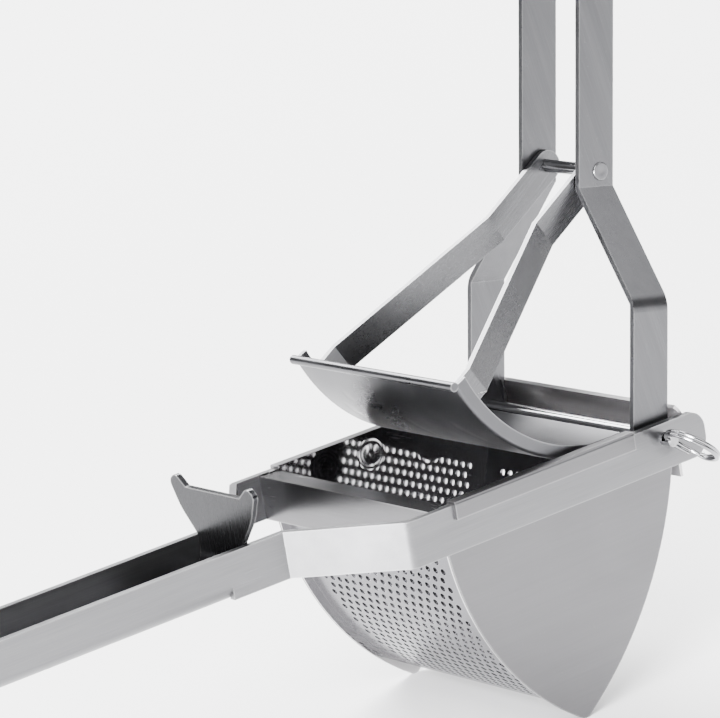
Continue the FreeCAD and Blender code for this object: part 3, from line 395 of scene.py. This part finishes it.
def steel(name, colour, rough, streak=0.5, turn=0.0, tilt=0.0, length=40.0, dense=1.0,
          wear=0.3, cloud=0.5, bump=0.25, marks=(), across=(1, 1, 1), mirror=None):
    """Steel sheet: brush grain, rubbed edges, wiping clouds and optional press marks.

    marks are (start, end, radius, depth), measured only along the axes that across keeps; a mirror
    (plane, side, gloss) polishes the face beyond a plane across Y.
    """
    material = bpy.data.materials.new(name)
    material.use_nodes = True
    tree = material.node_tree
    shader = tree.nodes["Principled BSDF"]
    shader.inputs["Metallic"].default_value = 1.0
    place = tree.nodes.new("ShaderNodeTexCoord").outputs["Object"]
    grain = use_group(tree, group_once("Brush Grain", build_grain), Vector=place, Turn=turn, Tilt=tilt,
                      Density=sizes().grain * dense, Length=length)
    edge = use_group(tree, group_once("Edge Wear", build_edge_wear), Vector=place, Width=sizes().edge,
                     Breakup=0.5)
    wiped = use_group(tree, group_once("Handling", build_handling), Vector=place, Scale=26.0)
    # tone: grain and bands darken the steel a little, rubbed edges lighten it
    shade = math_node(tree, "MULTIPLY", grain.outputs["Streaks"], streak)
    band = math_node(tree, "MULTIPLY_ADD", grain.outputs["Bands"], streak * 0.9, shade)
    dark = tuple(channel * GRAIN_DARK for channel in colour)
    tone = blend_colours(tree, math_node(tree, "MULTIPLY", band, 0.8, clamp=True), tuple(colour), dark)
    rubbed = math_node(tree, "MULTIPLY", edge.outputs["Mask"], wear)
    tone = blend_colours(tree, rubbed, tone, tuple(colours().worn))
    speck = math_node(tree, "MULTIPLY", wiped.outputs["Specks"], 0.12)
    tone = blend_colours(tree, speck, tone, SPECK)
    # roughness: grain roughens, clouds smear it, edges are burnished
    soft = math_node(tree, "MULTIPLY_ADD", grain.outputs["Streaks"], 0.22 * streak, rough - 0.11 * streak)
    soft = math_node(tree, "MULTIPLY_ADD", wiped.outputs["Clouds"], 0.10 * cloud, soft)
    soft = math_node(tree, "MULTIPLY_ADD", edge.outputs["Mask"], -0.12 * wear, soft, clamp=True)
    height = math_node(tree, "MULTIPLY", grain.outputs["Streaks"], GRAIN_HEIGHT)
    if mirror:
        # the face on the far side of this plane is polished to a mirror
        plane, side, gloss = mirror
        parts = add(tree, "ShaderNodeSeparateXYZ")
        tree.links.new(place, parts.inputs[0])
        outward = math_node(tree, "MULTIPLY", parts.outputs["Y"], side)
        beyond = math_node(tree, "GREATER_THAN", outward, plane * side)
        soft = math_node(tree, "MULTIPLY_ADD", math_node(tree, "SUBTRACT", gloss, soft), beyond, soft)
        tone = blend_colours(tree, beyond, tone, tuple(colours().polished))
        dull = math_node(tree, "SUBTRACT", 1.0, beyond)
        height = math_node(tree, "MULTIPLY", height, dull)
    flat = vector_node(tree, "MULTIPLY", place, across).outputs[0]
    for start, end, radius, depth in marks:
        mark = use_group(tree, group_once("Press Mark", build_press_mark), Vector=flat, Radius=radius,
                         Start=masked(start, across), End=masked(end, across))
        drop = math_node(tree, "MULTIPLY", mark.outputs["Height"], depth)
        stain = math_node(tree, "MULTIPLY", mark.outputs["Mark"], 0.3)
        if mirror:
            drop = math_node(tree, "MULTIPLY", drop, beyond)
            stain = math_node(tree, "MULTIPLY", stain, beyond)
        height = math_node(tree, "ADD", height, drop)
        tone = blend_colours(tree, stain, tone, STAIN)
    relief = add(tree, "ShaderNodeBump", Strength=bump, Distance=1.0)
    tree.links.new(height, relief.inputs["Height"])
    tree.links.new(tone, shader.inputs["Base Color"])
    tree.links.new(soft, shader.inputs["Roughness"])
    tree.links.new(relief.outputs["Normal"], shader.inputs["Normal"])
    return material


def masked(point, across):
    """Point with the coordinates that don't count set to nothing."""
    return tuple(number * kept for number, kept in zip(point, across))


def dress(material, *names):
    """Give pieces of the frame a material in all their slots."""
    for name in names:
        piece = frame["nodes"][name]
        if not piece.material_slots:
            piece.data.materials.append(material)
        for slot in piece.material_slots:
            slot.link = "OBJECT"
            slot.material = material


def piece_from(name, mesh, material, body):
    """New object that rides on a body and takes a finish slot."""
    made = bpy.data.objects.new(name, mesh)
    bpy.context.collection.objects.link(made)
    mesh.materials.append(material)
    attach(made, body)
    return made


# ---------------------------------------------------------------- operators
class RICER_OT_frame(bpy.types.Operator):
    """Brush the rails, the splay, the lower grip and the horned rest"""
    bl_idname = "ricer.frame"
    bl_label = "Finish frame"

    def execute(self, context):
        rail = steel("rail_steel", colours().rail, 0.30, streak=0.8, length=60.0, wear=0.22)
        dress(rail, "lower_handle")
        # painted shade: the horned rest is tinted near-black for the shade its tab shows
        rest = steel("rest_painted_shade_steel", colours().rest, 0.26, streak=0.5, turn=math.pi / 2, length=20.0)
        dress(rest, "handle_rest")
        return {"FINISHED"}


class RICER_OT_hopper(bpy.types.Operator):
    """Polish the hopper's side plates and cross plates, give the shaded rear cross plate a painted-light pale
    tone and mark their spot welds
    """
    bl_idname = "ricer.hopper"
    bl_label = "Finish hopper"

    def execute(self, context):
        for name, side in (("left_side_plate", -1), ("right_side_plate", 1)):
            low, high = node_box(name)
            sheet = plate_sheet(name)
            inner = low.y if side < 0 else high.y
            # three spot welds hold each side plate to its rail, the rear one lower
            spots = []
            for share, drop in SPOT_WELDS:
                spot = Vector((low.x + share * (high.x - low.x), 0, high.z - drop))
                spots.append((spot, spot + Vector((0.0004, 0, 0)), sizes().weld, SPOT_DEPTH))
            plate = steel(name + "_steel", colours().hopper, 0.30, streak=0.35, cloud=0.8, marks=spots,
                          across=(1, 0, 1), mirror=(inner - side * sheet / 2, side, 0.04))
            dress(plate, name)
        cross = steel("cross_plate_steel", colours().hopper, 0.22, streak=0.5, tilt=math.pi / 2)
        dress(cross, "front_cross_plate")
        # painted light: the rear cross plate sits in the hopper's shade and takes the much paler polished
        # colour, so it reads lighter than the front cross plate of the same steel
        painted_light_rear = steel("rear_plate_painted_light_steel", colours().polished, 0.34, streak=0.4, tilt=math.pi / 2)
        dress(painted_light_rear, "rear_cross_plate")
        return {"FINISHED"}


class RICER_OT_sieves(bpy.types.Operator):
    """Give the punched sieves their smooth rolled finish"""
    bl_idname = "ricer.sieves"
    bl_label = "Finish sieves"

    def execute(self, context):
        sieve = steel("sieve_steel", colours().sieve, 0.24, streak=0.3, tilt=math.pi / 2, wear=0.2, cloud=0.4)
        dress(sieve, "front_sieve", "rear_sieve")
        return {"FINISHED"}


class RICER_OT_upper_handle(bpy.types.Operator):
    """Brush the upper handle and the bail arms along their length"""
    bl_idname = "ricer.upper_handle"
    bl_label = "Finish upper handle"

    def execute(self, context):
        upright = math.pi / 2 + LEAN
        handle = steel("handle_steel", colours().handle, 0.29, streak=0.75, turn=upright, length=60.0,
                       wear=0.22)
        dress(handle, "upper_handle")
        low, high = node_box("left_bail_arm")
        slope = math.atan2(high.z - low.z, high.x - low.x)
        arm = steel("arm_steel", colours().bail, 0.27, streak=0.7, turn=slope, length=50.0, wear=0.15)
        dress(arm, "left_bail_arm", "right_bail_arm")
        return {"FINISHED"}


class RICER_OT_pins(bpy.types.Operator):
    """Polish the release pin, the axle tube, the rivet and its spacer"""
    bl_idname = "ricer.pins"
    bl_label = "Finish pins"

    def execute(self, context):
        bright = steel("pin_steel", colours().pin, 0.12, streak=0.25, dense=0.6, length=3.0, wear=0.3)
        dress(bright, "axle_tube", "release_pin", "bail_spacer")
        low, high = node_box("bail_pin")
        middle = (low + high) / 2
        reach = (high.x - low.x) / 3
        head = steel("rivet_steel", colours().handle, 0.30, streak=0.2, across=(1, 0, 1),
                     marks=[(middle, middle + Vector((0.0002, 0, 0)), reach, 0.0004)])
        dress(head, "bail_pin")
        return {"FINISHED"}


class RICER_OT_plunger(bpy.types.Operator):
    """Smooth the plunger, mark its press dimple and lay weld beads along the bail feet"""
    bl_idname = "ricer.plunger"
    bl_label = "Finish plunger"

    def execute(self, context):
        low, high = node_box("plunger_plate")
        span = high - low

        def on_plate(along, over):
            return Vector((low.x + along * span.x, low.y + over * span.y, 0))

        # a round press dimple and three shallow creases where the bail feet were pressed on
        dent = on_plate(0.127, 0.81)
        marks = [(dent, dent + Vector((0.0003, 0, 0)), 0.0024, 0.0002),
                 (on_plate(0.20, 0.886), on_plate(0.32, 0.897), 0.0030, 0.0003),
                 (on_plate(0.19, 0.56), on_plate(0.40, 0.513), 0.0030, 0.0003),
                 (on_plate(0.20, 0.23), on_plate(0.28, 0.172), 0.0030, 0.0003)]
        plate = steel("plunger_steel", colours().plunger, 0.26, streak=0.22, tilt=math.pi / 2, cloud=1.0,
                      marks=marks, across=(1, 1, 0))
        dress(plate, "plunger_plate")
        weld = steel("weld_bead", BEAD_STEEL, 0.34, streak=0.1, cloud=1.0, wear=0.0)
        for name, side in (("left_bail_arm", 1), ("right_bail_arm", -1)):
            foot_beads(name, side, weld)
        return {"FINISHED"}


def plate_sheet(name):
    """Thickness of a side plate, from how far it stands out beside the rails."""
    rail_high = node_box("lower_handle")[1]
    low, high = node_box(name)
    return max(abs(low.y), abs(high.y)) - rail_high.y


def foot_beads(name, side, material):
    """Overlapping weld drops along the inner edge of one bail foot."""
    chance = random.Random(sizes().seed + side)
    low, high = node_box(name)
    foot = []
    for vertex in frame["nodes"][name].data.vertices:
        if abs(vertex.co.z - low.z) < 0.006 and side * vertex.co.y > side * high.y * 0.9 - 0.002:
            foot.append(vertex.co.copy())
    if not foot:
        raise RuntimeError("no foot found on " + name)
    start = min(foot, key=lambda p: p.x)
    stop = max(foot, key=lambda p: p.x)
    drop = sizes().bead
    mesh = bpy.data.meshes.new(name + "_beads")
    shape = bmesh.new()
    for index in range(BEADS):
        at = start.lerp(stop, (index + 0.5) / BEADS)
        grown = drop * (0.42 + 0.1 * chance.random())
        spin = Matrix.Translation(at) @ Matrix.Diagonal((1.15, 0.8, 0.55, 1))
        bmesh.ops.create_icosphere(shape, subdivisions=2, radius=grown, matrix=spin)
    shape.to_mesh(mesh)
    shape.free()
    for polygon in mesh.polygons:
        polygon.use_smooth = True
    piece_from(name + "_weld", mesh, material, "plunger")


class RICER_OT_split_ring(bpy.types.Operator):
    """Wind the split ring that pulls the axle pin out"""
    bl_idname = "ricer.split_ring"
    bl_label = "Wind split ring"

    def execute(self, context):
        wire = sizes().ring_wire
        low, high = node_box("pull_ring")
        centre = (low + high) / 2
        # the ring lies in the plane of the axle's direction and the eye's slot
        normal = Vector((-EYE_AXIS.z, 0, EYE_AXIS.x)).normalized()
        outward = (centre - EYE).normalized()
        outward = (outward - normal * outward.dot(normal)).normalized()
        sideways = normal.cross(outward)
        radius = (high.y - low.y) / 2 - wire * 0.6
        turns = sizes().ring_turns
        steps = int(64 * turns)
        gap = wire * 0.86
        curve = bpy.data.curves.new("split_ring", "CURVE")
        curve.dimensions = "3D"
        curve.bevel_depth = wire / 2
        curve.bevel_resolution = 5
        curve.use_fill_caps = True
        spline = curve.splines.new("POLY")
        spline.points.add(steps)
        for index in range(steps + 1):
            angle = 2 * math.pi * turns * index / steps
            # the two turns lie side by side and step across in one short stretch
            turn = angle / (2 * math.pi)
            across = min(max((turn - 0.88) / 0.14, 0), 1)
            across = across * across * (3 - 2 * across)
            angle = angle + RING_START
            at = centre + radius * (outward * math.cos(angle) + sideways * math.sin(angle))
            at = at + normal * gap * (across - 0.5)
            spline.points[index].co = (*at, 1)
        made = bpy.data.objects.new("split_ring", curve)
        bpy.context.collection.objects.link(made)
        wound = bpy.data.meshes.new_from_object(made.evaluated_get(context.evaluated_depsgraph_get()))
        bpy.data.objects.remove(made)
        for polygon in wound.polygons:
            polygon.use_smooth = True
        wound.materials.clear()
        bright = steel("ring_steel", colours().pin, 0.14, streak=0.2, dense=0.6, length=4.0, wear=0.2)
        ring = piece_from("split_ring", wound, bright, "ring")
        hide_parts("pull_ring")
        return {"FINISHED"}


class RICER_OT_stage(bpy.types.Operator):
    """Lay the pale floor, hang the soft lights and stand the camera"""
    bl_idname = "ricer.stage"
    bl_label = "Set stage"

    def execute(self, context):
        half = sizes().floor_half
        mesh = bpy.data.meshes.new("floor")
        level = CAD_BOX[0][2]
        corners = [(-half, -half, level), (half, -half, level), (half, half, level), (-half, half, level)]
        mesh.from_pydata(corners, [], [(0, 1, 2, 3)])
        floor = bpy.data.objects.new("floor", mesh)
        context.collection.objects.link(floor)
        mesh.materials.append(floor_paint())
        for light in LIGHTS:
            soft_light(*light)
        sky()
        stand_camera(context)
        return {"FINISHED"}


def floor_paint():
    """Matt pale floor with the faintest cloudiness."""
    material = bpy.data.materials.new("floor_paint")
    material.use_nodes = True
    tree = material.node_tree
    shader = tree.nodes["Principled BSDF"]
    place = tree.nodes.new("ShaderNodeTexCoord").outputs["Object"]
    clouds = use_group(tree, group_once("Handling", build_handling), Vector=place, Scale=3.0)
    faint = math_node(tree, "MULTIPLY", clouds.outputs["Clouds"], 0.15)
    pale = tuple(colours().floor)
    tone = blend_colours(tree, faint, pale, tuple(channel * 0.97 for channel in pale))
    tree.links.new(tone, shader.inputs["Base Color"])
    shader.inputs["Roughness"].default_value = 0.9
    return material


def soft_light(name, place, area, power):
    """Rectangular soft light that looks at the hopper."""
    lamp = bpy.data.lights.new(name, "AREA")
    lamp.shape = "RECTANGLE"
    lamp.size, lamp.size_y = area
    lamp.energy = power
    made = bpy.data.objects.new(name, lamp)
    bpy.context.collection.objects.link(made)
    made.location = place
    made.rotation_euler = (AXLE - Vector(place)).to_track_quat("-Z", "Y").to_euler()


def sky():
    """Pale ceiling over a dark band at the horizon, which the polished steel picks up."""
    world = bpy.data.worlds.new("studio")
    bpy.context.scene.world = world
    world.use_nodes = True
    tree = world.node_tree
    back = tree.nodes["Background"]
    around = tree.nodes.new("ShaderNodeTexCoord").outputs["Generated"]
    parts = add(tree, "ShaderNodeSeparateXYZ")
    tree.links.new(around, parts.inputs[0])
    rise = add(tree, "ShaderNodeMapRange", From_Min=0.40, From_Max=0.9, To_Min=0.0, To_Max=1.0)
    tree.links.new(parts.outputs["Z"], rise.inputs["Value"])
    tone = blend_colours(tree, rise.outputs[0], (0.22, 0.22, 0.225), (1.4, 1.4, 1.42))
    tree.links.new(tone, back.inputs["Color"])
    back.inputs["Strength"].default_value = 0.85


def stand_camera(context):
    """Camera at the viewing angle of the product view."""
    lens = bpy.data.cameras.new("camera")
    lens.lens = sizes().lens
    lens.sensor_width = SENSOR_WIDTH
    lens.clip_end = VIEW_FAR
    camera = bpy.data.objects.new("camera", lens)
    context.collection.objects.link(camera)
    camera.location = sizes().camera_place
    tip = Euler((math.pi / 2 - sizes().camera_drop, 0, -sizes().camera_azimuth), "XYZ").to_matrix()
    roll = Matrix.Rotation(-sizes().camera_roll, 3, "Z")
    camera.rotation_euler = (tip @ roll).to_euler()
    context.scene.camera = camera


class RICER_PT_panel(bpy.types.Panel):
    """Colours, sizes and build steps of the ricer"""
    bl_label = "Potato Ricer"
    bl_idname = "RICER_PT_panel"
    bl_space_type = "VIEW_3D"
    bl_region_type = "UI"
    bl_category = "Ricer"

    def draw(self, context):
        for group in (context.scene.ricer_colours, context.scene.ricer_sizes):
            box = self.layout.box()
            for name in group.__annotations__:
                box.prop(group, name)
        for step in STEPS:
            self.layout.operator(step.bl_idname)


STEPS = (RICER_OT_frame, RICER_OT_hopper, RICER_OT_sieves, RICER_OT_upper_handle, RICER_OT_pins,
         RICER_OT_plunger, RICER_OT_split_ring, RICER_OT_stage)
CLASSES = (RicerColours, RicerSizes) + STEPS + (RICER_PT_panel,)


def register():
    for cls in CLASSES:
        bpy.utils.register_class(cls)
    bpy.types.Scene.ricer_colours = PointerProperty(type=RicerColours)
    bpy.types.Scene.ricer_sizes = PointerProperty(type=RicerSizes)


def unregister():
    del bpy.types.Scene.ricer_sizes
    del bpy.types.Scene.ricer_colours
    for cls in reversed(CLASSES):
        bpy.utils.unregister_class(cls)


def main():
    """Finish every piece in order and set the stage."""
    register()
    for step in STEPS:
        group, name = step.bl_idname.split(".")
        getattr(getattr(bpy.ops, group), name)()


if __name__ == "__main__":
    main()
